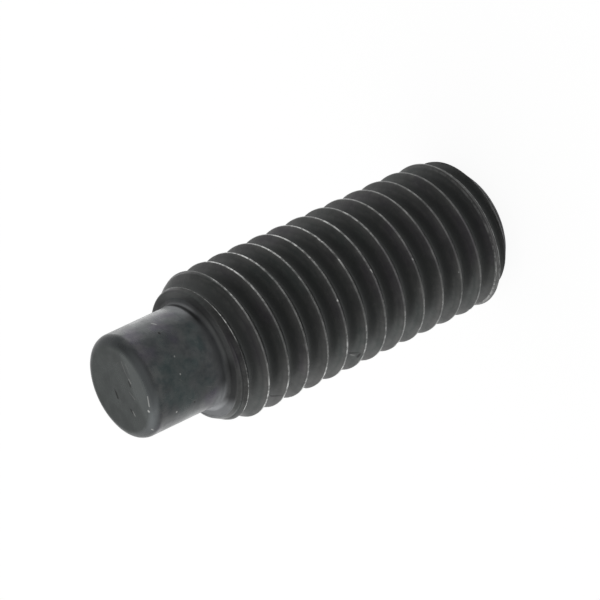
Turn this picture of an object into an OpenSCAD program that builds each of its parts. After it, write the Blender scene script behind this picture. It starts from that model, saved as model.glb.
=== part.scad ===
// Headless set screw with a dog point and a hexagon socket, stood on its socket end.
// The origin is the centre of the flat rim round the socket, and +Z runs to the tip.

/* [Thread] */
// Diameter over the thread's crests
thread_d = 7.95; // [7.4:0.01:8.4]
// Axial distance from one turn to the next
pitch = 1.25; // [1:0.05:1.5]
// Straight facets in one turn of the thread
turn_facets = 48; // [24:4:56]

/* [Body] */
// Length from the socket end to the tip
screw_l = 22.6; // [16:0.2:30]
// Slope of the chamfer at the socket end, measured from the screw's axis
end_chamfer_angle = 47; // [35:1:55]
// Diameter of the flat end round the socket
end_face_d = 5.6; // [5.2:0.05:6.4]
// Slope of the chamfer between shoulder and thread, measured from the screw's axis
lead_chamfer_angle = 28; // [25:1:50]
// Diameter of the shoulder at the foot of the dog point
shoulder_d = 6.75; // [6.2:0.05:7.2]

/* [Dog point] */
// Diameter of the dog point
dog_d = 5.15; // [4.5:0.05:5.6]
// Length of the dog point above its shoulder
dog_l = 4.6; // [3:0.05:6]
// Radius of the rounded edge at the tip
tip_edge_r = 0.55; // [0.1:0.05:0.8]
// Radius of the fillet between the dog point's side and the shoulder
foot_fillet_r = 0.25; // [0.1:0.05:0.3]

/* [Hexagon socket] */
// Socket size across the flats
socket_af = 4; // [3.2:0.1:4.3]
// Depth of the socket's flat walls
socket_depth = 5; // [3.5:0.25:8]
// Width of the countersink outside the socket's corners
mouth_margin = 0.1; // [0.05:0.05:0.25]
// Included angle of the countersink at the mouth
mouth_angle = 120; // [90:5:130]
// Included angle of the drilled bottom
drill_angle = 120; // [110:2:130]

/* [Hidden] */
$fn = 96;

// Metric profile: crest flat an eighth of the pitch, 60 degree flanks, round root
crest_r = thread_d / 2;
crest_w = pitch / 8;
root_arc_r = pitch * sqrt(3) / 12;
flank_depth = pitch * sqrt(3) * 5 / 16;
flank_w = flank_depth * tan(30);
root_r = crest_r - flank_depth - root_arc_r / 2;

shoulder_z = screw_l - dog_l;
dog_r = dog_d / 2;
end_face_r = end_face_d / 2;
shoulder_r = shoulder_d / 2;
blank_r = crest_r + 0.2;
end_chamfer_l = (blank_r - end_face_r) / tan(end_chamfer_angle);
lead_chamfer_l = (blank_r - shoulder_r) / tan(lead_chamfer_angle);

socket_corner_r = socket_af / sqrt(3);
mouth_r = socket_corner_r + mouth_margin;
mouth_depth = mouth_r / tan(mouth_angle / 2);
drill_r = socket_af / 2;
drill_tip_l = drill_r / tan(drill_angle / 2);
cut_past = 1;
sunk = 0.5;

// One turn's profile from crest edge to crest edge, as [axial offset, radius]
profile = [
    [0, crest_r],
    [crest_w, crest_r],
    [crest_w + flank_w, crest_r - flank_depth],
    [(pitch + crest_w) / 2, root_r],
    [pitch - flank_w, crest_r - flank_depth]
];
rows = len(profile);
thread_turns = ceil(shoulder_z / pitch) + 2;
steps = thread_turns * turn_facets;

// Corner of the thread at one step along the helix and one row of the profile
function thread_corner(step, row) =
    let (turn = step / turn_facets, r = profile[row][1])
    [r * cos(360 * turn), r * sin(360 * turn), (turn - 1) * pitch + profile[row][0]];

function corner_id(step, row) = step * rows + row;

// Two triangles of the strip between two neighbouring rows
function strip(a, b, c, d) = [[a, d, b], [b, d, c]];

// Triangles from a centre point to each side of a closed loop of corners
function fan(centre, loop) =
    [for (i = [0:len(loop) - 1]) [centre, loop[i], loop[(i + 1) % len(loop)]]];

// Rod with a right-hand thread, a full turn too long at both ends
module threaded_rod() {
    corners = [for (step = [0:steps], row = [0:rows - 1]) thread_corner(step, row)];
    low_centre = [0, 0, -pitch / 2];
    high_centre = [0, 0, (thread_turns - 0.5) * pitch - pitch];
    low_id = len(corners);
    high_id = low_id + 1;
    sides = [
        for (step = [0:steps - 1], row = [0:rows - 2])
            each strip(
                corner_id(step, row), corner_id(step + 1, row),
                corner_id(step + 1, row + 1), corner_id(step, row + 1)
            )
    ];
    seams = [
        for (step = [0:steps - turn_facets - 1])
            each strip(
                corner_id(step, rows - 1), corner_id(step + 1, rows - 1),
                corner_id(step + turn_facets + 1, 0), corner_id(step + turn_facets, 0)
            )
    ];
    low_loop = [
        for (step = [0:turn_facets]) corner_id(step, 0),
        for (row = [rows - 1:-1:1]) corner_id(0, row)
    ];
    high_loop = [
        for (step = [steps - turn_facets:steps]) corner_id(step, rows - 1),
        for (row = [rows - 2:-1:0]) corner_id(steps, row)
    ];
    high_fan = [for (side = fan(high_id, high_loop)) [side[0], side[2], side[1]]];
    polyhedron(
        points = concat(corners, [low_centre, high_centre]),
        faces = concat(sides, seams, fan(low_id, low_loop), high_fan)
    );
}

// Turned blank that bounds the thread, chamfered down to the root at both ends
module chamfered_blank() {
    rotate_extrude()
        polygon([
            [0, 0],
            [end_face_r, 0],
            [blank_r, end_chamfer_l],
            [blank_r, shoulder_z - lead_chamfer_l],
            [shoulder_r, shoulder_z],
            [0, shoulder_z]
        ]);
}

// Dog point with a rounded tip edge, carried down into the body
module dog_point() {
    rotate_extrude()
        union() {
            translate([0, shoulder_z - sunk])
                square([dog_r, dog_l + sunk - tip_edge_r]);
            translate([0, screw_l - tip_edge_r])
                square([dog_r - tip_edge_r, tip_edge_r]);
            translate([dog_r - tip_edge_r, screw_l - tip_edge_r])
                intersection() {
                    circle(tip_edge_r);
                    square(tip_edge_r);
                }
            foot_fillet();
        }
}

// Profile of the fillet that leads from the shoulder up to the dog point's side
module foot_fillet() {
    difference() {
        translate([dog_r - foot_fillet_r, shoulder_z - sunk])
            square([2 * foot_fillet_r, sunk + foot_fillet_r]);
        translate([dog_r + foot_fillet_r, shoulder_z + foot_fillet_r])
            circle(foot_fillet_r);
    }
}

// Hexagon socket with its countersunk mouth and drilled bottom
module hex_socket() {
    translate([0, 0, -cut_past])
        cylinder(r = socket_corner_r, h = socket_depth + cut_past, $fn = 6);
    translate([0, 0, -cut_past])
        cylinder(
            r1 = mouth_r + cut_past * tan(mouth_angle / 2),
            r2 = 0,
            h = mouth_depth + cut_past
        );
    translate([0, 0, socket_depth])
        cylinder(r1 = drill_r, r2 = 0, h = drill_tip_l);
}

module set_screw() {
    color("#2b2c2e")
        difference() {
            union() {
                intersection() {
                    threaded_rod();
                    chamfered_blank();
                }
                dog_point();
            }
            hex_socket();
        }
}

set_screw();
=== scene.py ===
import math

import bpy
from mathutils import Matrix, Vector


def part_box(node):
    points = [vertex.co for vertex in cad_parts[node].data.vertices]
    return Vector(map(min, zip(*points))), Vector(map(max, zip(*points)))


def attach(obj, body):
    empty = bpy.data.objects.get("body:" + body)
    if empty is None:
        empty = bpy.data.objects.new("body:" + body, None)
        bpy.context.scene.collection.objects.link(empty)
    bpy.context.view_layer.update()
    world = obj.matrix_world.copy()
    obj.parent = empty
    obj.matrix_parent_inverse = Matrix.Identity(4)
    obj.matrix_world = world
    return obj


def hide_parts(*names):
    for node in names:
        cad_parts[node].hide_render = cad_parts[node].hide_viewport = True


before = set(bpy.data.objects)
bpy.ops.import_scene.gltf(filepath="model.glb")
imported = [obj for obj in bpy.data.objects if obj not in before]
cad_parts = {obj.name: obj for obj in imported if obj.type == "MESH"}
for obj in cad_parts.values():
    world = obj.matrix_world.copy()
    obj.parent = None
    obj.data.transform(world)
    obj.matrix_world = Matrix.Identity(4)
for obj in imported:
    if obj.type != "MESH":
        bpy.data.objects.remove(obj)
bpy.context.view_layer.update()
lowCorner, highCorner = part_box("set_screw")
mm = 0.001
micron = 0.001 * mm
print("frame loaded:", ", ".join(sorted(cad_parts)))

# small helpers for node trees


def addNode(tree, kind, **settings):
    node = tree.nodes.new(kind)
    for name, value in settings.items():
        setattr(node, name, value)
    return node


def plug(tree, source, socket):
    if isinstance(source, bpy.types.NodeSocket):
        tree.links.new(source, socket)
    else:
        socket.default_value = source


def plugAll(tree, node, **sources):
    for name, source in sources.items():
        plug(tree, source, node.inputs[name.replace("_", " ")])


def calc(tree, operation, *values, clamp=False):
    node = addNode(tree, "ShaderNodeMath", operation=operation, use_clamp=clamp)
    for socket, value in zip(node.inputs, values):
        plug(tree, value, socket)
    return node.outputs[0]


def total(tree, *values):
    result = values[0]
    for value in values[1:]:
        result = calc(tree, "ADD", result, value)
    return result


def product(tree, *values):
    result = values[0]
    for value in values[1:]:
        result = calc(tree, "MULTIPLY", result, value)
    return result


def remap(tree, value, low, high, toLow=0.0, toHigh=1.0, ease="SMOOTHSTEP"):
    node = addNode(tree, "ShaderNodeMapRange", interpolation_type=ease)
    plugAll(tree, node, Value=value, From_Min=low, From_Max=high, To_Min=toLow, To_Max=toHigh)
    return node.outputs["Result"]


def noise(tree, place, scale, detail, roughness, seed):
    node = addNode(tree, "ShaderNodeTexNoise", noise_dimensions="4D")
    plugAll(tree, node, Vector=place, Scale=scale, Detail=detail, Roughness=roughness, W=seed)
    return node.outputs[0]


def xyz(tree, place):
    node = addNode(tree, "ShaderNodeSeparateXYZ")
    plug(tree, place, node.inputs[0])
    return [node.outputs[axis] for axis in ("X", "Y", "Z")]


def fromAxis(tree, x, y):
    return calc(tree, "SQRT", total(tree, calc(tree, "POWER", x, 2.0), calc(tree, "POWER", y, 2.0)))


def combined(tree, **axes):
    node = addNode(tree, "ShaderNodeCombineXYZ")
    plugAll(tree, node, **axes)
    return node.outputs[0]


def vectorCalc(tree, operation, *values):
    node = addNode(tree, "ShaderNodeVectorMath", operation=operation)
    for socket, value in zip(node.inputs, values):
        plug(tree, value, socket)
    return node.outputs["Value" if operation in ("DOT_PRODUCT", "LENGTH", "DISTANCE") else "Vector"]


def scaled(tree, place, factor):
    node = addNode(tree, "ShaderNodeVectorMath", operation="SCALE")
    plug(tree, place, node.inputs[0])
    plug(tree, factor, node.inputs["Scale"])
    return node.outputs[0]


def socketTitle(name):
    return "".join(" " + letter if letter.isupper() else letter for letter in name).title()


# the screw's sizes: millimetres and degrees, and what the mesh needs

screwSize = {
    "crestRadius": (highCorner.x - lowCorner.x) / 2 / mm,
    "screwLength": (highCorner.z - lowCorner.z) / mm,
    "pitch": 1.25,
    "crestStart": -0.06,        # of the crest's flat, along the axis from the thread's start
    "crestWidth": 0.20,
    "crestSoftness": 0.10,      # how far the crest's corner is rolled over on the socket's side
    "crestSlump": 0.70,         # and on the point's side
    "seamDepth": 0.07,          # the crest is left open along its middle near both ends
    "seamWidth": 0.10,
    "seamReach": 2.0,           # how far from the socket's end
    "seamShift": 0.7,           # how much less far from the shoulder
    "seamStart": 0.4,           # it is full from here on, so that the flats stay whole
    "rootSoftness": 0.45,
    "edgeSoftness": 0.10,       # where a chamfer meets a flat or the thread
    "endFaceRadius": 2.8,
    "endChamferAngle": 47.0,    # from the axis
    "shoulderRadius": 3.375,
    "leadChamferAngle": 28.0,
    "pointRadius": 2.72,        # as the photo shows it, 0.145 more than the CAD's
    "pointLength": 4.6,
    "tipEdgeRadius": 0.55,
    "footFilletRadius": 0.25,
    "socketFlats": 4.0,
    "socketDepth": 5.0,
    "mouthMargin": 0.10,
    "mouthAngle": 120.0,
    "drillAngle": 120.0,
    "faceDish": 0.03,           # how far the tip's face dips
    "nickDepth": 0.03,
    "nickBand": 0.12,           # how far below a crest's top the nicks reach
    "unevenDepth": 0.012,
    "flatEnd": 0.05,            # the end it stands on stays flat up to here
    "sharpAngle": 38.0,
    "columns": 144,
    "rowsPerTurn": 30,
    "rowsPerStretch": 12,
    "seed": 4,
}
wholeNumbers = ("columns", "rowsPerTurn", "rowsPerStretch", "seed")


def inUnits(name, value):
    if name in wholeNumbers:
        return value
    return math.radians(value) if name.endswith("Angle") else value * mm


def wrappedGrid(tree, columns, rows):
    grid = addNode(tree, "GeometryNodeMeshGrid")
    plugAll(
        tree, grid, Size_X=1.0, Size_Y=1.0,
        Vertices_X=calc(tree, "ADD", columns, 1.0), Vertices_Y=calc(tree, "ADD", rows, 1.0)
    )
    x, y, _ = xyz(tree, addNode(tree, "GeometryNodeInputPosition").outputs[0])
    turn = calc(tree, "ADD", x, 0.5)       # 0 to 1 round the axis
    row = calc(tree, "MULTIPLY", calc(tree, "ADD", y, 0.5), rows)
    return grid.outputs["Mesh"], turn, row


def turnedPlace(tree, mesh, radius, turn, height):
    angle = calc(tree, "MULTIPLY", turn, math.tau)
    x, y = (product(tree, radius, calc(tree, share, angle)) for share in ("COSINE", "SINE"))
    move = addNode(tree, "GeometryNodeSetPosition")
    plugAll(tree, move, Geometry=mesh, Position=combined(tree, X=x, Y=y, Z=height))
    return move.outputs[0]


def stretches(tree, row, rowsPerStretch, count):
    share = calc(tree, "DIVIDE", row, rowsPerStretch)
    return [calc(tree, "SUBTRACT", share, float(i), clamp=True) for i in range(count)]


def storeNumber(tree, mesh, name, value, domain="POINT", kind="FLOAT"):
    node = addNode(tree, "GeometryNodeStoreNamedAttribute", data_type=kind, domain=domain)
    plugAll(tree, node, Geometry=mesh, Name=name, Value=value)
    return node.outputs[0]


def threadedBody(tree, s):
    # rows follow the helix, so that the crest and the root each lie on a row
    crowding = 0.5              # rows draw together at crest and root
    seamFull = 0.6              # share of the seam's reach over which it is full
    seamFloor = 0.3             # share of its width that is its flat bottom
    slumpFrom = -0.5            # where the slump starts, in half crests
    endSlope = calc(tree, "TANGENT", s["endChamferAngle"])
    leadSlope = calc(tree, "TANGENT", s["leadChamferAngle"])
    endStep = calc(tree, "SUBTRACT", s["endFaceRadius"], s["mouthRadius"])
    leadStep = calc(tree, "SUBTRACT", s["shoulderRadius"], s["rimRadius"])
    endReach, leadReach = calc(tree, "DIVIDE", endStep, endSlope), calc(tree, "DIVIDE", leadStep, leadSlope)
    firstTurn = calc(tree, "ADD", calc(tree, "CEIL", calc(tree, "DIVIDE", endReach, s["pitch"])), 1.0)
    reach = calc(tree, "DIVIDE", calc(tree, "ADD", s["bodyLength"], leadReach), s["pitch"])
    turns = calc(tree, "ADD", calc(tree, "CEIL", reach), firstTurn)
    rows = product(tree, turns, s["rowsPerTurn"])
    mesh, turn, row = wrappedGrid(tree, s["columns"], rows)

    rowTurn = calc(tree, "DIVIDE", row, s["rowsPerTurn"])
    wave = calc(tree, "SINE", calc(tree, "MULTIPLY", rowTurn, 2 * math.tau))
    rowTurn = calc(tree, "SUBTRACT", rowTurn, calc(tree, "MULTIPLY", wave, crowding / (2 * math.tau)))
    travelled = calc(tree, "SUBTRACT", calc(tree, "ADD", rowTurn, turn), firstTurn)
    halfCrest = calc(tree, "DIVIDE", s["crestWidth"], 2.0)
    along = total(tree, product(tree, travelled, s["pitch"]), s["crestStart"], halfCrest)

    fromCrest = product(tree, calc(tree, "PINGPONG", rowTurn, 0.5), s["pitch"])
    drop = calc(tree, "MULTIPLY", calc(tree, "SUBTRACT", fromCrest, halfCrest), math.sqrt(3))
    flank = calc(tree, "SUBTRACT", s["crestRadius"], drop)
    towardsPoint = calc(tree, "SUBTRACT", 0.5, calc(tree, "FRACT", rowTurn))
    toShoulder = calc(tree, "SUBTRACT", s["bodyLength"], along)
    toEnd = calc(tree, "MINIMUM", along, calc(tree, "ADD", toShoulder, s["seamShift"]))
    seamFade = remap(tree, toEnd, s["seamReach"], calc(tree, "MULTIPLY", s["seamReach"], seamFull))
    offFlats = remap(tree, calc(tree, "MINIMUM", along, toShoulder), s["seamWidth"], s["seamStart"])
    seamFade = product(tree, seamFade, offFlats)
    seamBottom = calc(tree, "MULTIPLY", s["seamWidth"], seamFloor)
    seam = remap(tree, fromCrest, seamBottom, s["seamWidth"], s["seamDepth"], 0.0)
    signedDistance = product(tree, calc(tree, "SIGN", towardsPoint), fromCrest)
    rounding = remap(
        tree, signedDistance, calc(tree, "MULTIPLY", halfCrest, slumpFrom), s["crestWidth"],
        s["crestSoftness"], s["crestSlump"]
    )
    radius = calc(tree, "SMOOTH_MIN", s["crestRadius"], flank, rounding)
    radius = calc(tree, "SMOOTH_MAX", radius, s["rootRadius"], s["rootSoftness"])
    endCone = calc(tree, "ADD", s["endFaceRadius"], product(tree, along, endSlope))
    leadCone = calc(tree, "ADD", s["shoulderRadius"], product(tree, toShoulder, leadSlope))
    radius = calc(tree, "SMOOTH_MIN", radius, endCone, s["edgeSoftness"])
    radius = calc(tree, "SMOOTH_MIN", radius, leadCone, s["edgeSoftness"])
    radius = calc(tree, "SUBTRACT", radius, product(tree, seam, seamFade))
    nearShoulder = calc(tree, "GREATER_THAN", along, calc(tree, "DIVIDE", s["bodyLength"], 2.0))
    rimStep = product(tree, nearShoulder, calc(tree, "SUBTRACT", s["rimRadius"], s["mouthRadius"]))
    radius = calc(tree, "MAXIMUM", radius, calc(tree, "ADD", s["mouthRadius"], rimStep))
    height = calc(tree, "SMOOTH_MAX", along, 0.0, s["edgeSoftness"])
    height = calc(tree, "SMOOTH_MIN", height, s["bodyLength"], s["edgeSoftness"])
    mesh = storeNumber(tree, mesh, "zone", 0, "FACE", "INT")
    return turnedPlace(tree, mesh, radius, turn, height)


def dogPoint(tree, s):
    # fillet, side, rounded edge and face, each a stretch of rows
    rows = calc(tree, "MULTIPLY", s["rowsPerStretch"], 4.0)
    mesh, turn, row = wrappedGrid(tree, s["columns"], rows)
    fillet, side, edge, face = stretches(tree, row, s["rowsPerStretch"], 4)
    foot = calc(tree, "MULTIPLY", fillet, math.pi / 2)
    footRise = product(tree, s["footFilletRadius"], calc(tree, "SUBTRACT", 1.0, calc(tree, "COSINE", foot)))
    bothRadii = calc(tree, "ADD", s["tipEdgeRadius"], s["footFilletRadius"])
    sideLength = calc(tree, "SUBTRACT", s["pointLength"], bothRadii)
    bend = calc(tree, "MULTIPLY", edge, math.pi / 2)
    faceRadius = calc(tree, "SUBTRACT", s["pointRadius"], s["tipEdgeRadius"])
    inward = total(
        tree, product(tree, s["footFilletRadius"], calc(tree, "SINE", foot)),
        product(tree, s["tipEdgeRadius"], calc(tree, "SUBTRACT", 1.0, calc(tree, "COSINE", bend))),
        product(tree, faceRadius, face)
    )
    radius = calc(tree, "SUBTRACT", s["rimRadius"], inward)
    dishShare = product(tree, face, calc(tree, "SUBTRACT", 2.0, face))
    height = total(
        tree, s["bodyLength"], footRise, product(tree, sideLength, side),
        product(tree, s["tipEdgeRadius"], calc(tree, "SINE", bend)),
        calc(tree, "MULTIPLY", product(tree, s["faceDish"], dishShare), -1.0)
    )
    mesh = storeNumber(tree, mesh, "zone", 1, "FACE", "INT")
    return turnedPlace(tree, mesh, radius, turn, height)


def hexSocket(tree, s):
    # countersink, flat walls, ledge in the corners and drilled cone
    rows = calc(tree, "MULTIPLY", s["rowsPerStretch"], 2.0)
    mesh, turn, row = wrappedGrid(tree, s["columns"], rows)
    halfStretch = calc(tree, "DIVIDE", s["rowsPerStretch"], 2.0)
    mouth, wall, ledge, cone = stretches(tree, row, halfStretch, 4)
    halfFlats = calc(tree, "DIVIDE", s["socketFlats"], 2.0)
    sixth = math.tau / 6
    inFlat = calc(tree, "MODULO", calc(tree, "MULTIPLY", turn, math.tau), sixth)
    offFlat = calc(tree, "SUBTRACT", inFlat, sixth / 2)
    wallRadius = calc(tree, "DIVIDE", halfFlats, calc(tree, "COSINE", offFlat))
    mouthStep = calc(tree, "SUBTRACT", s["mouthRadius"], wallRadius)
    mouthSlope = calc(tree, "TANGENT", calc(tree, "DIVIDE", s["mouthAngle"], 2.0))
    mouthDepth = calc(tree, "DIVIDE", mouthStep, mouthSlope)
    drillSlope = calc(tree, "TANGENT", calc(tree, "DIVIDE", s["drillAngle"], 2.0))
    drillDepth = calc(tree, "DIVIDE", halfFlats, drillSlope)
    inward = total(
        tree, product(tree, mouthStep, mouth),
        product(tree, calc(tree, "SUBTRACT", wallRadius, halfFlats), ledge), product(tree, halfFlats, cone)
    )
    radius = calc(tree, "SUBTRACT", s["mouthRadius"], inward)
    height = total(
        tree, product(tree, mouthDepth, mouth),
        product(tree, calc(tree, "SUBTRACT", s["socketDepth"], mouthDepth), wall),
        product(tree, drillDepth, cone)
    )
    mesh = storeNumber(tree, mesh, "zone", 2, "FACE", "INT")
    mesh = turnedPlace(tree, mesh, radius, turn, height)
    flip = addNode(tree, "GeometryNodeFlipFaces")
    tree.links.new(mesh, flip.inputs[0])
    return flip.outputs[0]


def wornSurface(tree, mesh, s):
    # small nicks along the crests, always inwards, and how far each point stands proud of its surroundings
    nickScale, unevenScale = 1600.0, 260.0      # of the noise, per metre
    nickLow, nickHigh = 0.62, 0.78
    place = addNode(tree, "GeometryNodeInputPosition").outputs[0]
    normal = addNode(tree, "GeometryNodeInputNormal").outputs[0]
    x, y, z = xyz(tree, place)
    bandFrom = calc(tree, "SUBTRACT", s["crestRadius"], s["nickBand"])
    crestBand = remap(tree, fromAxis(tree, x, y), bandFrom, s["crestRadius"])
    nicks = remap(tree, noise(tree, place, nickScale, 1.0, 0.5, s["seed"]), nickLow, nickHigh)
    uneven = noise(tree, place, unevenScale, 2.0, 0.5, calc(tree, "ADD", s["seed"], 7.0))
    inward = product(tree, nicks, crestBand, s["nickDepth"])
    inward = calc(tree, "ADD", inward, product(tree, uneven, s["unevenDepth"]))
    inward = product(tree, inward, remap(tree, z, 0.0, s["flatEnd"]))
    move = addNode(tree, "GeometryNodeSetPosition")
    plugAll(tree, move, Geometry=mesh, Offset=scaled(tree, normal, calc(tree, "MULTIPLY", inward, -1.0)))

    blur = addNode(tree, "GeometryNodeBlurAttribute", data_type="FLOAT_VECTOR")
    plugAll(tree, blur, Value=place, Iterations=4)
    gap = vectorCalc(tree, "SUBTRACT", place, blur.outputs[0])
    proud = calc(tree, "DIVIDE", vectorCalc(tree, "DOT_PRODUCT", gap, normal), micron)
    return storeNumber(tree, move.outputs[0], "proud", proud)


def withMaterials(tree, mesh, materials):
    zone = addNode(tree, "GeometryNodeInputNamedAttribute", data_type="INT")
    zone.inputs["Name"].default_value = "zone"
    for number, material in enumerate(materials):
        node = addNode(tree, "GeometryNodeSetMaterial")
        plugAll(
            tree, node, Geometry=mesh, Material=material,
            Selection=calc(tree, "COMPARE", zone.outputs["Attribute"], float(number), 0.1)
        )
        mesh = node.outputs[0]
    return mesh


def screwTree(size, materials):
    tree = bpy.data.node_groups.new("setScrew", "GeometryNodeTree")
    for name in size:
        kind = "NodeSocketInt" if name in wholeNumbers else "NodeSocketFloat"
        tree.interface.new_socket(socketTitle(name), in_out="INPUT", socket_type=kind)
    tree.interface.new_socket("Geometry", in_out="OUTPUT", socket_type="NodeSocketGeometry")
    inputs = addNode(tree, "NodeGroupInput")
    s = {name: inputs.outputs[socketTitle(name)] for name in size}

    flankDepth = calc(tree, "MULTIPLY", s["pitch"], math.sqrt(3) * 5 / 16)
    rootArc = calc(tree, "MULTIPLY", s["pitch"], math.sqrt(3) / 24)
    s["rootRadius"] = calc(tree, "SUBTRACT", s["crestRadius"], calc(tree, "ADD", flankDepth, rootArc))
    s["bodyLength"] = calc(tree, "SUBTRACT", s["screwLength"], s["pointLength"])
    s["mouthRadius"] = calc(
        tree, "ADD", calc(tree, "DIVIDE", s["socketFlats"], math.sqrt(3)), s["mouthMargin"]
    )
    s["rimRadius"] = calc(tree, "ADD", s["pointRadius"], s["footFilletRadius"])

    join = addNode(tree, "GeometryNodeJoinGeometry")
    for part in (threadedBody(tree, s), dogPoint(tree, s), hexSocket(tree, s)):
        tree.links.new(part, join.inputs[0])
    weld = addNode(tree, "GeometryNodeMergeByDistance")
    plugAll(tree, weld, Geometry=join.outputs[0], Distance=0.3 * micron)
    mesh = wornSurface(tree, weld.outputs[0], s)
    sharp = addNode(tree, "GeometryNodeSetShadeSmooth", domain="EDGE")
    bendAngle = addNode(tree, "GeometryNodeInputMeshEdgeAngle").outputs["Unsigned Angle"]
    plugAll(
        tree, sharp, Geometry=mesh, Shade_Smooth=False,
        Selection=calc(tree, "GREATER_THAN", bendAngle, s["sharpAngle"])
    )
    realize = addNode(tree, "GeometryNodeRealizeInstances")
    tree.links.new(sharp.outputs[0], realize.inputs[0])
    finished = withMaterials(tree, realize.outputs[0], materials)
    tree.links.new(finished, addNode(tree, "NodeGroupOutput").inputs[0])
    return tree


def meshFromTree(name, tree, size):
    carrier = bpy.data.objects.new(name + "_carrier", bpy.data.meshes.new(name + "_empty"))
    bpy.context.collection.objects.link(carrier)
    modifier = carrier.modifiers.new("Screw", "NODES")
    modifier.node_group = tree
    for item in tree.interface.items_tree:
        if item.item_type == "SOCKET" and item.in_out == "INPUT":
            key = next(key for key in size if socketTitle(key) == item.name)
            modifier[item.identifier] = inUnits(key, size[key])
    bpy.context.view_layer.update()
    evaluated = carrier.evaluated_get(bpy.context.evaluated_depsgraph_get())
    mesh = bpy.data.meshes.new_from_object(evaluated)
    bpy.data.objects.remove(carrier)
    mesh.name = name
    piece = bpy.data.objects.new(name, mesh)
    bpy.context.collection.objects.link(piece)
    return piece


# finishes: what more than one of them uses is a node group, and lengths in them are millimetres


def shaderGroup(title, inputs, outputs):
    group = bpy.data.node_groups.new(title, "ShaderNodeTree")
    for name, value in inputs.items():
        kind = "NodeSocketVector" if name == "Place" else "NodeSocketFloat"
        socket = group.interface.new_socket(name, in_out="INPUT", socket_type=kind)
        if name != "Place":
            socket.default_value = value
    for name, kind in outputs.items():
        group.interface.new_socket(name, in_out="OUTPUT", socket_type=kind)
    return group, addNode(group, "NodeGroupInput").outputs, addNode(group, "NodeGroupOutput").inputs


def opaque(colour):
    return (*colour, 1.0)


def blend(tree, share, low, high, how="MIX"):
    node = addNode(tree, "ShaderNodeMix", data_type="RGBA", blend_type=how, clamp_factor=True)
    for socket, value in zip((node.inputs[0], node.inputs[6], node.inputs[7]), (share, low, high)):
        plug(tree, value, socket)
    return node.outputs[2]


def softLine(tree, distance, halfWidth):
    core = 0.4       # share of the half width that is full, before it fades
    return remap(tree, distance, halfWidth * core, halfWidth, 1.0, 0.0)


def brokenUp(tree, place, seed, values):
    # soft-edged patches in a noise
    pattern = noise(tree, place, values["scale"], values["detail"], values["roughness"], seed)
    return remap(tree, pattern, *values["between"], *values["to"])


def oxideTone():
    # patches of lighter and darker oxide, with a breath of violet or green
    sizes = {"Place": None, "Patch": 1.0, "Seed": 0.0}
    outputs = {"Tone": "NodeSocketFloat", "Tint": "NodeSocketColor"}
    group, given, result = shaderGroup("oxideTone", sizes, outputs)
    place = scaled(group, given["Place"], calc(group, "DIVIDE", 1.0, given["Patch"]))
    tone = remap(group, noise(group, place, 1.0, 5.0, 0.62, given["Seed"]), 0.30, 0.70)
    hue = noise(group, place, 0.45, 2.0, 0.5, calc(group, "ADD", given["Seed"], 11.0))
    green, plain, violet = (0.82, 1.05, 1.0, 1.0), (1.0, 1.0, 1.0, 1.0), (1.14, 0.90, 1.20, 1.0)
    tint = blend(group, remap(group, hue, 0.36, 0.50), green, plain)
    tint = blend(group, remap(group, hue, 0.50, 0.64), tint, violet)
    plug(group, tone, result["Tone"])
    plug(group, tint, result["Tint"])
    return group


def hairlines():
    # each cell of space may hold one thin flat disc, which cuts the surface in a line
    sizes = {"Place": None, "Spacing": 1.0, "Width": 0.02, "Length": 0.6, "Share": 0.5, "Seed": 0.0}
    group, given, result = shaderGroup("hairlines", sizes, {"Mask": "NodeSocketFloat"})
    place = vectorCalc(group, "ADD", given["Place"], combined(group, X=given["Seed"]))
    cells = addNode(group, "ShaderNodeTexVoronoi", feature="F1", voronoi_dimensions="3D")
    plugAll(group, cells, Vector=place, Scale=calc(group, "DIVIDE", 1.0, given["Spacing"]))
    away = vectorCalc(group, "SUBTRACT", place, cells.outputs["Position"])
    way = vectorCalc(group, "NORMALIZE", vectorCalc(group, "SUBTRACT", cells.outputs["Color"], (0.5, 0.5, 0.5)))
    offLine = calc(group, "ABSOLUTE", vectorCalc(group, "DOT_PRODUCT", away, way))
    thin = remap(group, offLine, 0.0, given["Width"], 1.0, 0.0)
    offCentre = calc(group, "DIVIDE", vectorCalc(group, "LENGTH", away), given["Length"])
    short = remap(group, offCentre, 0.25, 0.5, 1.0, 0.0)
    draw = addNode(group, "ShaderNodeTexWhiteNoise", noise_dimensions="3D")
    plug(group, cells.outputs["Position"], draw.inputs["Vector"])
    chosen = calc(group, "LESS_THAN", draw.outputs["Value"], given["Share"])
    plug(group, product(group, thin, short, chosen), result["Mask"])
    return group


def specks():
    # round dots of several sizes
    sizes = {"Place": None, "Spacing": 1.0, "Radius": 0.03, "Share": 0.3, "Seed": 0.0}
    group, given, result = shaderGroup("specks", sizes, {"Mask": "NodeSocketFloat"})
    cells = addNode(group, "ShaderNodeTexVoronoi", feature="F1", voronoi_dimensions="4D")
    perMm = calc(group, "DIVIDE", 1.0, given["Spacing"])
    plugAll(group, cells, Vector=given["Place"], Scale=perMm, W=given["Seed"])
    distance = product(group, cells.outputs["Distance"], given["Spacing"])
    draw = addNode(group, "ShaderNodeSeparateColor")
    plug(group, cells.outputs["Color"], draw.inputs[0])
    smallest = 0.4       # in radii, and the largest is one radius more
    reach = product(group, given["Radius"], calc(group, "ADD", draw.outputs["Green"], smallest))
    dot = remap(group, calc(group, "DIVIDE", distance, reach), 0.5, 1.0, 1.0, 0.0)
    chosen = calc(group, "LESS_THAN", draw.outputs["Red"], given["Share"])
    plug(group, product(group, dot, chosen), result["Mask"])
    return group


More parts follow.
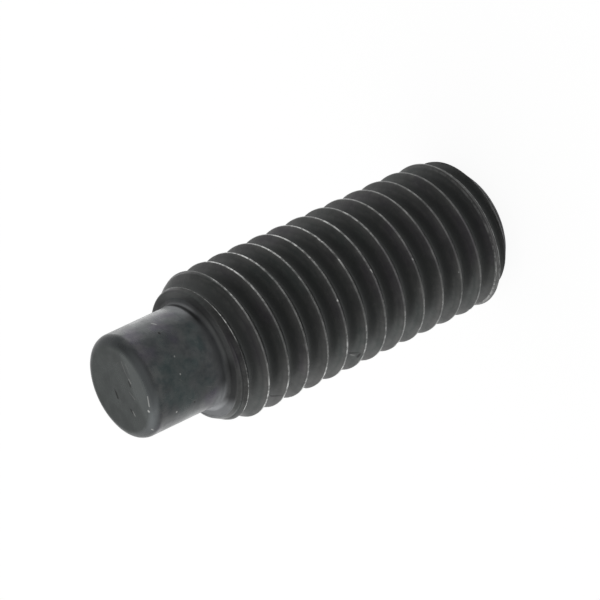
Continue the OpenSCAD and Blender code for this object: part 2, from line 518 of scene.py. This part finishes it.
def toolRings():
    # fine rings round the axis, as a cutting tool leaves them
    sizes = {"Place": None, "Ring": 0.08, "Seed": 0.0}
    group, given, result = shaderGroup("toolRings", sizes, {"Height": "NodeSocketFloat"})
    drift = 0.15                    # the rings wander a little round the part
    alongRing = (1.0, 0.06, 1.0)    # and are long in that direction
    x, y, z = xyz(group, given["Place"])
    ringPlace = combined(group, X=fromAxis(group, x, y), Y=calc(group, "MULTIPLY", x, drift), Z=z)
    perRing = scaled(group, ringPlace, calc(group, "DIVIDE", 1.0, given["Ring"]))
    stretched = vectorCalc(group, "MULTIPLY", perRing, alongRing)
    plug(group, noise(group, stretched, 1.0, 2.0, 0.6, given["Seed"]), result["Height"])
    return group


def wornEdges():
    # bare metal where a point stands proud of its surroundings, broken up by noise
    sizes = {"Place": None, "Proud": 0.0, "Start": 0.5, "Full": 4.0, "Seed": 0.0}
    group, given, result = shaderGroup("wornEdges", sizes, {"Mask": "NodeSocketFloat"})
    patches = {"scale": 2.2, "detail": 4.0, "roughness": 0.65, "between": (0.32, 0.66), "to": (0.25, 1.0)}
    proud = remap(group, given["Proud"], given["Start"], given["Full"])
    plug(group, product(group, proud, brokenUp(group, given["Place"], given["Seed"], patches)), result["Mask"])
    return group


groups = {make.__name__: make() for make in (oxideTone, hairlines, specks, toolRings, wornEdges)}


def useGroup(tree, title, **sources):
    node = addNode(tree, "ShaderNodeGroup", node_tree=groups[title])
    plugAll(tree, node, **sources)
    return node.outputs


def threadPlace(tree, x, y, z):
    # the radii of both chamfers' cones at a height, and how far off a crest's middle it is, in pitches
    slopes = (math.tan(math.radians(screwSize[key])) for key in ("leadChamferAngle", "endChamferAngle"))
    leadSlope, endSlope = slopes
    fromShoulder = calc(tree, "SUBTRACT", screwSize["screwLength"] - screwSize["pointLength"], z)
    leadCone = calc(tree, "MULTIPLY_ADD", fromShoulder, leadSlope, screwSize["shoulderRadius"])
    endCone = calc(tree, "MULTIPLY_ADD", z, endSlope, screwSize["endFaceRadius"])
    turn = calc(tree, "DIVIDE", calc(tree, "ARCTAN2", y, x), math.tau)
    along = calc(tree, "SUBTRACT", calc(tree, "DIVIDE", z, screwSize["pitch"]), turn)
    crestMiddle = (screwSize["crestStart"] + screwSize["crestWidth"] / 2) / screwSize["pitch"]
    fromCrest = calc(tree, "FRACT", calc(tree, "SUBTRACT", along, crestMiddle - 0.5))
    return leadCone, endCone, calc(tree, "SUBTRACT", fromCrest, 0.5)


def threadMasks(tree, place, look):
    # where the thread's crests, their bright lines and the root are, each a value from 0 to 1
    x, y, z = xyz(tree, place)
    radius = fromAxis(tree, x, y)
    leadCone, endCone, fromCrest = threadPlace(tree, x, y, z)
    underLead = calc(tree, "SUBTRACT", leadCone, radius)
    underEnd = calc(tree, "SUBTRACT", endCone, radius)
    offEnd = remap(tree, underEnd, *look["underCone"])
    crest = product(
        tree, remap(tree, radius, look["crestFrom"], look["crestFull"]),
        remap(tree, underLead, *look["underCone"], look["crestOnLead"], 1.0), offEnd
    )
    root = product(
        tree, remap(tree, radius, look["rootFull"], look["rootFrom"], 1.0, 0.0),
        remap(tree, calc(tree, "MINIMUM", underLead, underEnd), *look["rootUnderCone"])
    )

    offFront = calc(tree, "ABSOLUTE", calc(tree, "SUBTRACT", x, look["frontAt"]))
    offLine = calc(tree, "ABSOLUTE", calc(tree, "SUBTRACT", fromCrest, look["lineAt"]))
    line = product(
        tree, softLine(tree, offLine, look["lineWidth"]), offEnd, remap(tree, radius, *look["lineFrom"]),
        remap(tree, offFront, *look["frontReach"], look["lineFront"], 1.0),
        remap(tree, z, *look["farReach"], look["lineFar"], 1.0), remap(tree, underLead, *look["underCone"])
    )
    offMiddle = calc(tree, "ABSOLUTE", fromCrest)
    offLips = calc(tree, "ABSOLUTE", calc(tree, "SUBTRACT", offMiddle, look["lipAt"]))
    lips = product(
        tree, softLine(tree, offLips, look["lipWidth"]), remap(tree, z, *look["lipHeights"], 1.0, 0.0),
        remap(tree, radius, *look["lipRadii"])
    )

    # where the chamfer towards the point cuts a crest short: a bright edge, and a strip of painted shade beside
    # it
    flankTop = screwSize["crestRadius"] + screwSize["crestWidth"] / 2 * math.sqrt(3)
    flankDrop = calc(tree, "MULTIPLY", offMiddle, screwSize["pitch"] * math.sqrt(3))
    gap = calc(tree, "SUBTRACT", calc(tree, "SUBTRACT", flankTop, flankDrop), leadCone)
    onLead = product(
        tree, remap(tree, leadCone, *look["leadTo"], 1.0, 0.0), remap(tree, leadCone, *look["leadFrom"])
    )
    leadEdge = product(
        tree, onLead, remap(tree, calc(tree, "ABSOLUTE", gap), *look["leadWidth"], 1.0, 0.0),
        calc(tree, "LESS_THAN", fromCrest, 0.0)
    )
    leadShade = product(
        tree, onLead, remap(tree, gap, *look["leadShadeFrom"]), remap(tree, gap, *look["leadShadeTo"], 1.0, 0.0)
    )
    return {
        "crest": crest, "root": root, "offEnd": offEnd, "line": line, "lips": lips,
        "leadEdge": leadEdge, "leadShade": leadShade
    }


def crestWearAndHighlight(tree, place, look, masks, patchy):
    # bare metal along the crests with a painted highlight laid along it, weaker on one side and towards the
    # socket's end, chipped, with a few larger chips
    line = calc(tree, "MULTIPLY", masks["line"], patchy)
    line = calc(tree, "MAXIMUM", line, calc(tree, "MULTIPLY", masks["leadEdge"], look["leadLine"]))
    line = calc(tree, "MAXIMUM", line, calc(tree, "MULTIPLY", masks["lips"], look["lipLine"]))
    line = calc(tree, "MULTIPLY", line, brokenUp(tree, place, look["seed"] + 8.0, look["chipped"]))
    chips = useGroup(tree, "specks", Place=place, Seed=look["seed"] + 20.0, **look["chips"])["Mask"]
    return calc(tree, "MAXIMUM", line, product(tree, chips, remap(tree, masks["crest"], *look["chipsOn"])))


def footPaintedLight(tree, place, look, colour):
    # the shoulder and the foot of the point's side painted lighter than the rest, as painted fill light with
    # painted highlights on either side, and a painted shadow line in the corner
    x, _, z = xyz(tree, place)
    rise = calc(tree, "SUBTRACT", z, screwSize["screwLength"] - screwSize["pointLength"])
    leftSide, rightSide = (remap(tree, x, *reach) for reach in look["footSides"])
    offNear = calc(tree, "MAXIMUM", *(remap(tree, x, *reach) for reach in look["shoulderSides"]))
    # painted light on the shoulder: a pale near side and a painted highlight
    shoulder = blend(tree, offNear, opaque(look["shoulderNearLight"]), opaque(look["shoulderFillLight"]))
    shoulder = blend(tree, remap(tree, x, *look["shoulderLight"]), shoulder, opaque(look["shoulderHighlight"]))
    # painted fill light on the foot, with painted highlights towards both sides
    side = blend(
        tree, calc(tree, "MAXIMUM", leftSide, rightSide), opaque(look["footFillLight"]), opaque(look["footHighlight"])
    )
    wall = remap(tree, rise, *look["footWall"])
    share = product(
        tree, calc(tree, "MAXIMUM", wall, remap(tree, x, *look["shoulderFrom"])),
        remap(tree, rise, *look["footFrom"]), remap(tree, rise, *look["footTo"], 1.0, 0.0)
    )
    # painted shadow along the corner at the foot, on one side only
    crevice = product(
        tree, remap(tree, rise, *look["creviceFrom"]), remap(tree, rise, *look["creviceTo"], 1.0, 0.0),
        remap(tree, x, *look["creviceSide"])
    )
    colour = blend(tree, share, colour, blend(tree, wall, shoulder, side))
    crevice = calc(tree, "MULTIPLY", crevice, look["creviceShadowStrength"])
    colour = blend(tree, crevice, colour, opaque(look["creviceShadow"]))
    return colour, calc(tree, "MULTIPLY", share, look["footRoughness"])


def faceTonesAndPaintedLight(tree, place, look, tone, colour):
    # the tip's face, its own tone with a painted lighter side (painted light), and the rounded edge round it
    # painted lighter, more on one side (painted light)
    x, y, z = xyz(tree, place)
    drop = calc(tree, "SUBTRACT", screwSize["screwLength"], z)
    flatRadius = screwSize["pointRadius"] - screwSize["tipEdgeRadius"]
    face = product(
        tree, remap(tree, drop, *look["faceDepth"], 1.0, 0.0),
        remap(tree, fromAxis(tree, x, y), flatRadius, flatRadius + look["faceSpread"], 1.0, 0.0)
    )
    wander = calc(tree, "MULTIPLY", noise(tree, place, 1.4, 3.0, 0.6, 21.0), look["litSideWander"])
    bow = calc(tree, "MULTIPLY", calc(tree, "MAXIMUM", x, 0.0), look["litSideBow"])
    past = calc(tree, "SUBTRACT", calc(tree, "ADD", y, wander), bow)
    paler = tuple(look["faceMottle"] * value for value in look["faceColour"])
    faceTone = blend(tree, tone, opaque(look["faceColour"]), opaque(paler))
    # painted light: the face's lighter side
    faceTone = blend(tree, remap(tree, past, *look["litSideFrom"]), faceTone, opaque(look["facePaintedLight"]))
    # painted light on the rounded edge, more on one side along Y
    litSide = remap(tree, y, *look["rimSide"])
    rimTone = blend(tree, litSide, opaque(look["rimPaintedLight"]), opaque(look["rimLitSideColour"]))
    colour = blend(tree, remap(tree, drop, *look["rimDepth"], 1.0, 0.0), colour, rimTone)
    return blend(tree, face, colour, faceTone)


def strokeMask(tree, place, start, end, halfWidth):
    # one stroke between two points, in millimetres
    start, end = Vector(start), Vector(end)
    way = end - start
    offset = vectorCalc(tree, "SUBTRACT", place, tuple(start))
    share = vectorCalc(tree, "DOT_PRODUCT", offset, tuple(way / way.length_squared))
    nearest = scaled(tree, tuple(way), calc(tree, "ADD", share, 0.0, clamp=True))
    return softLine(tree, vectorCalc(tree, "DISTANCE", offset, nearest), halfWidth)


def scratchMask(tree, place, look):
    mask = 0.0
    for spacing, width, length, share in look["scratches"]:
        lines = useGroup(
            tree, "hairlines", Place=place, Spacing=spacing, Width=width, Length=length, Share=share,
            Seed=look["seed"] + spacing
        )
        mask = calc(tree, "MAXIMUM", mask, lines["Mask"])
    return mask


def withMarks(tree, place, look, colour):
    for start, end, halfWidth, brightness in look["marks"]:
        stroke = calc(tree, "MULTIPLY", strokeMask(tree, place, start, end, halfWidth), look["markStrength"])
        colour = blend(tree, stroke, colour, opaque(brightness * value for value in look["markTint"]))
    return colour


def fineRelief(tree, place, look, scratched):
    # heights in microns
    rings = useGroup(tree, "toolRings", Place=place, Ring=look["ring"], Seed=look["seed"])["Height"]
    grain = noise(tree, place, look["grain"], 3.0, 0.6, look["seed"] + 5.0)
    height = total(
        tree, calc(tree, "MULTIPLY", rings, look["ringDepth"]),
        calc(tree, "MULTIPLY", grain, look["grainDepth"]),
        calc(tree, "MULTIPLY", scratched, -look["scratchDepth"])
    )
    bump = addNode(tree, "ShaderNodeBump")
    plugAll(tree, bump, Strength=1.0, Distance=micron, Height=height)
    return bump.outputs[0]


def oxideFinish(name, look):
    material = bpy.data.materials.new(name)
    material.use_nodes = True
    tree = material.node_tree
    shader = tree.nodes["Principled BSDF"]
    place = scaled(tree, addNode(tree, "ShaderNodeTexCoord").outputs["Object"], 1 / mm)
    seed = look["seed"]

    patches = useGroup(tree, "oxideTone", Place=place, Patch=look["patch"], Seed=seed)
    tone = patches["Tone"]
    colour = blend(tree, tone, opaque(look["dark"]), opaque(look["light"]))
    colour = blend(tree, 1.0, colour, patches["Tint"], "MULTIPLY")
    roughness = remap(tree, tone, 0.0, 1.0, *look["roughness"])
    proud = addNode(tree, "ShaderNodeAttribute", attribute_name="proud").outputs["Fac"]
    worn = useGroup(
        tree, "wornEdges", Place=place, Proud=proud, Start=look["wearStart"], Full=look["wearFull"], Seed=seed
    )
    wear = calc(tree, "MULTIPLY", worn["Mask"], look["edgeWear"])

    metallic = look["metallic"]
    if "crestFrom" in look:
        masks = threadMasks(tree, place, look)
        patchy = brokenUp(tree, place, seed + 2.0, look["patchy"])
        wear = calc(tree, "MAXIMUM", wear, product(tree, masks["crest"], patchy, look["crestWear"]))
        wearAndHighlightLine = crestWearAndHighlight(tree, place, look, masks, patchy)
        metallic = remap(tree, wearAndHighlightLine, 0.0, 1.0, look["metallic"], look["lineMetallic"])
        onEnd = calc(tree, "SUBTRACT", 1.0, masks["offEnd"])
        roughness = total(
            tree, roughness, product(tree, masks["root"], look["rootRoughness"]),
            product(tree, onEnd, look["endRoughness"])
        )
        # painted fill light: the shaded valleys are painted lighter towards the root
        colour = blend(tree, masks["root"], colour, opaque(look["rootFillLight"]))
        # painted shade beside the cut crests
        shade = calc(tree, "MULTIPLY", masks["leadShade"], look["leadShadeStrength"])
        colour = blend(tree, shade, colour, opaque(look["leadShadeColour"]))
    colour, footRoughness = footPaintedLight(tree, place, look, colour)
    roughness = calc(tree, "ADD", roughness, footRoughness)
    colour = blend(tree, wear, colour, opaque(look["bare"]))
    if "crestFrom" in look:
        # the crest lines: bare metal plus a painted highlight
        colour = blend(tree, wearAndHighlightLine, colour, opaque(look["crestLineAndHighlight"]))
    if "faceColour" in look:
        colour = faceTonesAndPaintedLight(tree, place, look, tone, colour)

    scratched = scratchMask(tree, place, look)
    colour = blend(tree, calc(tree, "MULTIPLY", scratched, look["scratchShine"]), colour, opaque(look["bare"]))
    spots = useGroup(tree, "specks", Place=place, Seed=seed, **look["specks"])["Mask"]
    colour = blend(tree, calc(tree, "MULTIPLY", spots, look["speckStrength"]), colour, opaque(look["bright"]))
    colour = withMarks(tree, place, look, colour)
    roughness = calc(tree, "ADD", roughness, calc(tree, "MULTIPLY", spots, look["speckRoughness"]))
    normal = fineRelief(tree, place, look, scratched)
    plugAll(tree, shader, Base_Color=colour, Metallic=metallic, Roughness=roughness, IOR=1.5, Normal=normal)
    return material


threadOxide = {
    "dark": (0.0285, 0.0306, 0.0302),
    "light": (0.0375, 0.0400, 0.0392),
    "bare": (0.110, 0.110, 0.107),
    "bright": (0.30, 0.30, 0.28),
    "metallic": 0.5,
    "roughness": (0.40, 0.29),      # of the darkest oxide and of the lightest
    "patch": 1.6,
    "edgeWear": 0.5,
    "wearStart": 1.0,               # microns that a point stands proud
    "wearFull": 6.0,
    "underCone": (0.03, 0.10),      # how far under a chamfer's cone a crest starts
    "crestFrom": 3.62,
    "crestFull": 3.93,
    "crestWear": 0.85,
    "crestOnLead": 0.15,            # share of that wear on the chamfer towards the point
    "patchy": {"scale": 1.1, "detail": 4.0, "roughness": 0.6, "between": (0.35, 0.65), "to": (0.45, 1.0)},
    "lineAt": -0.035,               # the bright line's place and half width, in pitches from the crest's middle: bare metal and a painted highlight
    "lineWidth": 0.070,
    "lineFrom": (3.52, 3.74),       # radius from which it shows
    "frontAt": -0.4,                # X of the side where the painted highlight is weakest
    "frontReach": (0.8, 3.5),       # how far off it the line is back
    "lineFront": 0.14,              # and how much of it is left there
    "farReach": (1.0, 12.0),        # the same towards the socket's end, along Z
    "lineFar": 0.25,
    "lipAt": 0.085,                 # the two lips of the open crest at the socket's end, in pitches
    "lipWidth": 0.035,
    "lipHeights": (1.4, 2.2),
    "lipRadii": (3.3, 3.5),
    "lipLine": 0.5,
    "crestLineAndHighlight": (0.52, 0.525, 0.515),
    "lineMetallic": 0.95,
    "chipped": {"scale": 4.5, "detail": 3.0, "roughness": 0.7, "between": (0.38, 0.64), "to": (0.15, 1.25)},
    "chips": {"Spacing": 0.55, "Radius": 0.05, "Share": 0.35},
    "chipsOn": (0.7, 1.0),          # how much of a crest a place has to be
    "leadFrom": (3.40, 3.46),       # radii of the chamfer between which its cut crests are bright
    "leadTo": (3.78, 3.90),
    "leadWidth": (0.03, 0.11),
    "leadLine": 0.8,
    "leadShadeFrom": (0.04, 0.12),  # the strip of painted shade beside them
    "leadShadeTo": (0.25, 0.70),
    "leadShadeStrength": 0.6,
    "leadShadeColour": (0.01, 0.01, 0.01),
    "rootFrom": 3.90,
    "rootFull": 3.30,
    "rootUnderCone": (0.03, 0.12),
    # painted fill light in the shaded roots
    "rootFillLight": (0.077, 0.081, 0.0795),
    "rootRoughness": 0.12,
    "endRoughness": 0.35,           # more on the chamfer at the socket's end
    "footFrom": (-0.06, 0.0),       # heights above the shoulder between which the foot is painted lighter, as painted fill light
    "footTo": (0.30, 0.95),
    "footWall": (0.03, 0.22),       # where the shoulder goes over into the point's side
    "footSides": ((-2.1, -2.7), (0.95, 2.1)),           # where that side gets a painted highlight, along X
    "footFillLight": (0.078, 0.081, 0.084),
    "footHighlight": (0.36, 0.37, 0.38),
    "footRoughness": 0.25,
    "shoulderFrom": (-3.2, -2.5),   # along X
    "shoulderSides": ((-0.4, 0.5), (-1.5, -2.5)),       # where the near side's painted light ends
    "shoulderNearLight": (0.19, 0.195, 0.195),
    "shoulderFillLight": (0.085, 0.087, 0.088),
    "shoulderLight": (2.05, 2.7),
    "shoulderHighlight": (0.38, 0.39, 0.40),
    "creviceFrom": (0.08, 0.28),    # heights of the painted shadow line in the corner at the foot
    "creviceTo": (0.34, 0.48),
    "creviceSide": (-1.5, -2.4),    # and where it is, along X
    "creviceShadowStrength": 0.85,
    "creviceShadow": (0.008, 0.008, 0.008),
    "scratches": ((0.9, 0.015, 0.5, 0.30), (1.7, 0.02, 1.1, 0.15)),     # spacing, width, length, share
    "scratchShine": 0.7,
    "scratchDepth": 0.8,
    "specks": {"Spacing": 1.3, "Radius": 0.035, "Share": 0.22},
    "speckStrength": 0.8,
    "speckRoughness": 0.2,
    "markStrength": 0.85,
    "markTint": (1.0, 1.0, 0.97),
    "marks": (                      # from, to, half width and brightness
        ((-2.26, 3.26, 10.45), (-2.24, 3.28, 10.44), 0.05, 0.5),
        ((-1.25, 3.77, 9.13), (-1.10, 3.82, 9.08), 0.04, 0.5),
        ((-0.72, 3.89, 9.02), (-0.68, 3.90, 9.01), 0.06, 0.7),
        ((0.44, 3.93, 8.98), (0.48, 3.93, 8.96), 0.05, 0.6),
        ((-0.85, 3.87, 6.62), (-0.80, 3.88, 6.60), 0.05, 0.35),
        ((0.77, 3.89, 4.15), (0.84, 3.87, 4.13), 0.05, 0.5),
        ((-0.60, 3.93, 11.6), (-0.57, 3.93, 11.6), 0.06, 0.6),
        ((0.42, 3.72, 9.35), (0.60, 3.52, 9.45), 0.06, 0.32),
        ((1.10, 3.67, 9.27), (1.20, 3.45, 9.37), 0.06, 0.35),
        ((2.75, 2.12, 10.6), (2.79, 2.79, 10.35), 0.09, 0.0),
        ((2.79, 2.79, 10.35), (3.02, 2.30, 10.30), 0.08, 0.0),
        ((2.86, 2.10, 10.52), (2.93, 2.35, 10.42), 0.05, 0.35),
        ((3.09, 1.78, 15.5), (3.12, 2.43, 15.3), 0.09, 0.0),
    ),
    "ring": 0.10,
    "ringDepth": 1.0,               # microns, like the next
    "grain": 9.0,
    "grainDepth": 2.5,
    "seed": 3.0,
}
pointOxide = threadOxide | {
    "dark": (0.0260, 0.0305, 0.0330),
    "light": (0.0340, 0.0395, 0.0430),
    "metallic": 0.82,
    "roughness": (0.37, 0.26),
    "patch": 0.8,
    "ringDepth": 2.5,
    "rimDepth": (0.14, 0.46),       # how far down from the face the rounded edge's painted light goes
    "rimPaintedLight": (0.060, 0.065, 0.067),
    "rimLitSideColour": (0.165, 0.177, 0.181),
    "rimSide": (0.8, 2.4),          # where its painted light is, along Y
    "faceDepth": (0.02, 0.15),
    "faceSpread": 0.28,             # past the flat's radius, so the face's tone also lightens the shaded inner rim (painted light)
    "faceColour": (0.050, 0.056, 0.0545),
    "faceMottle": 1.35,             # its palest patches
    "facePaintedLight": (0.092, 0.102, 0.100),
    "litSideFrom": (1.2, 1.6),       # where the painted lighter side starts, along Y
    "litSideWander": 0.6,            # how unevenly
    "litSideBow": 0.3,
    "marks": (
        ((-1.50, 0.86, 22.6), (-1.00, 0.90, 22.6), 0.05, 0.15),
        ((-1.00, 0.90, 22.6), (-0.57, 1.03, 22.6), 0.04, 0.17),
        ((-1.40, 1.15, 22.6), (-0.90, 1.26, 22.6), 0.04, 0.15),
        ((-0.60, 1.05, 22.6), (-0.38, 1.12, 22.6), 0.05, 0.35),
        ((-0.45, 0.98, 22.6), (-0.22, 1.00, 22.6), 0.09, 0.0),
        ((0.10, 0.75, 22.6), (0.47, 1.06, 22.6), 0.05, 0.22),
        ((0.20, -0.47, 22.6), (0.48, -0.45, 22.6), 0.11, 0.0),
        ((0.05, -0.50, 22.6), (0.20, -0.47, 22.6), 0.07, 0.0),
        ((1.04, 0.43, 22.6), (1.20, 0.52, 22.6), 0.09, 0.0),
        ((1.12, 0.56, 22.6), (1.34, 0.66, 22.6), 0.05, 0.35),
        ((0.21, 2.29, 22.57), (0.72, 2.18, 22.58), 0.05, 0.40),
        ((0.98, 2.00, 22.59), (1.00, 2.02, 22.59), 0.08, 0.60),
        ((2.05, 1.56, 22.44), (2.12, 1.58, 22.38), 0.06, 0.50),
        ((-2.60, 0.79, 20.3), (-2.51, 1.02, 20.2), 0.035, 0.25),
        ((1.56, 2.22, 21.2), (1.58, 2.21, 21.2), 0.06, 0.35),
        ((-0.26, 2.70, 20.7), (-0.23, 2.70, 20.7), 0.05, 0.22),
        ((-1.12, 2.47, 20.6), (-1.10, 2.48, 20.6), 0.05, 0.20),
        ((1.48, 2.28, 20.1), (1.50, 2.27, 20.1), 0.07, 0.01),
        ((-2.22, 1.53, 20.5), (-2.17, 1.58, 20.5), 0.08, 0.01),
    ),
    "seed": 9.0,
}
del pointOxide["crestFrom"]
socketOxide = pointOxide | {"roughness": (0.46, 0.35), "marks": (), "seed": 15.0}
del socketOxide["faceColour"]
finishes = {"threadOxide": threadOxide, "pointOxide": pointOxide, "socketOxide": socketOxide}
materials = [oxideFinish(name, look) for name, look in finishes.items()]
print("finishes:", ", ".join(finishes))

screw = meshFromTree("grubScrew", screwTree(screwSize, materials), screwSize)
print("screw:", len(screw.data.vertices), "points,", len(screw.data.polygons), "faces")
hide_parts("set_screw")
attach(screw, "root")

# floor, light and camera

studio = {
    "floorSize": 0.9,
    "floorColour": 0.86,
    "floorGlow": 1.10,
    "shadowKept": 0.15,         # share of the floor's own shading that the camera sees
    "sky": 1.0,
    "dimSky": 0.40,             # a dark stretch overhead, as between two softboxes
    "dimAzimuth": 132.0,
    "dimElevation": 60.0,
    "dimFrom": 70.0,            # degrees away from its middle
    "dimFull": 46.0,
}


def towards(azimuth, elevation):
    a, e = math.radians(azimuth), math.radians(elevation)
    return Vector((math.cos(a) * math.cos(e), math.sin(a) * math.cos(e), math.sin(e)))


def seenRays(tree):
    rays = addNode(tree, "ShaderNodeLightPath").outputs
    return total(tree, rays["Is Camera Ray"], rays["Is Glossy Ray"], rays["Is Transmission Ray"])


def paleFloor(values):
    material = bpy.data.materials.new("paleFloor")
    material.use_nodes = True
    tree = material.node_tree
    tree.nodes.clear()
    paint = addNode(tree, "ShaderNodeBsdfDiffuse")
    paint.inputs["Color"].default_value = (*[values["floorColour"]] * 3, 1.0)
    glow = addNode(tree, "ShaderNodeEmission")
    glow.inputs["Strength"].default_value = values["floorGlow"]
    mix = addNode(tree, "ShaderNodeMixShader")
    plug(tree, calc(tree, "MULTIPLY", seenRays(tree), 1 - values["shadowKept"], clamp=True), mix.inputs[0])
    tree.links.new(paint.outputs[0], mix.inputs[1])
    tree.links.new(glow.outputs[0], mix.inputs[2])
    tree.links.new(mix.outputs[0], addNode(tree, "ShaderNodeOutputMaterial").inputs[0])
    half = values["floorSize"] / 2
    mesh = bpy.data.meshes.new("floor")
    corners = [(-half, -half, 0), (half, -half, 0), (half, half, 0), (-half, half, 0)]
    mesh.from_pydata(corners, [], [(0, 1, 2, 3)])
    mesh.materials.append(material)
    floor = bpy.data.objects.new("floor", mesh)
    bpy.context.collection.objects.link(floor)


def studioWorld(values):
    world = bpy.data.worlds.new("studioWorld")
    bpy.context.scene.world = world
    world.use_nodes = True
    tree = world.node_tree
    tree.nodes.clear()
    way = addNode(tree, "ShaderNodeTexCoord").outputs["Generated"]
    middle = tuple(towards(values["dimAzimuth"], values["dimElevation"]))
    near = vectorCalc(tree, "DOT_PRODUCT", way, middle)
    outer, inner = (math.cos(math.radians(values[key])) for key in ("dimFrom", "dimFull"))
    strength = remap(tree, near, outer, inner, values["sky"], values["dimSky"])
    background = addNode(tree, "ShaderNodeBackground")
    plug(tree, strength, background.inputs["Strength"])
    tree.links.new(background.outputs[0], addNode(tree, "ShaderNodeOutputWorld").inputs[0])


def softbox(name, azimuth, elevation, distance, width, height, watts):
    data = bpy.data.lights.new(name, "AREA")
    data.shape = "RECTANGLE"
    data.size, data.size_y, data.energy = width, height, watts
    lamp = bpy.data.objects.new(name, data)
    bpy.context.collection.objects.link(lamp)
    way = towards(azimuth, elevation)
    lamp.location = aimPoint + way * distance
    lamp.rotation_mode = "QUATERNION"
    lamp.rotation_quaternion = way.to_track_quat("Z", "Y")
    lamp.visible_camera = False
    return lamp


def lowPanel(name, azimuth, distance, width, depth, radiance):
    # lies just over the floor and shines upwards, for the long reflections along the screw's sides
    data = bpy.data.lights.new(name, "AREA")
    data.shape = "RECTANGLE"
    data.size, data.size_y = depth, width
    data.energy = radiance * math.pi * width * depth
    lamp = bpy.data.objects.new(name, data)
    bpy.context.collection.objects.link(lamp)
    lamp.location = towards(azimuth, 0) * distance + Vector((0, 0, 0.0005))
    lamp.rotation_euler = (math.pi, 0, math.radians(-azimuth))
    lamp.visible_camera = False
    return lamp


cameraView = {
    "aim": (-0.2997, 0.3294, 11.3634),     # millimetres
    "azimuth": 107.466,                    # of the camera, from +X towards +Y
    "elevation": 31.857,
    "roll": 115.297,
    "distance": 244.679,                   # millimetres
    "lens": 295.925,
}
aimPoint = Vector(cameraView["aim"]) * mm


def placeCamera(values):
    data = bpy.data.cameras.new("camera")
    data.sensor_width = 36.0
    data.lens = values["lens"]
    data.clip_start, data.clip_end = 0.01, 5.0
    camera = bpy.data.objects.new("camera", data)
    bpy.context.collection.objects.link(camera)
    back = towards(values["azimuth"], values["elevation"])
    turn = back.to_track_quat("Z", "Y").to_matrix() @ Matrix.Rotation(-math.radians(values["roll"]), 3, "Z")
    camera.matrix_world = Matrix.Translation(aimPoint + back * values["distance"] * mm) @ turn.to_4x4()
    bpy.context.scene.camera = camera


paleFloor(studio)
studioWorld(studio)
placeCamera(cameraView)
softbox("sideSoftbox", azimuth=325, elevation=30, distance=0.25, width=0.21, height=0.20, watts=0.06)
lowPanel("leftPanel", azimuth=222, distance=0.036, width=0.026, depth=0.048, radiance=0.85)
lowPanel("rightPanel", azimuth=337, distance=0.036, width=0.026, depth=0.048, radiance=0.35)
bpy.context.scene.view_settings.view_transform = "Standard"
print("stage, lights and camera placed")
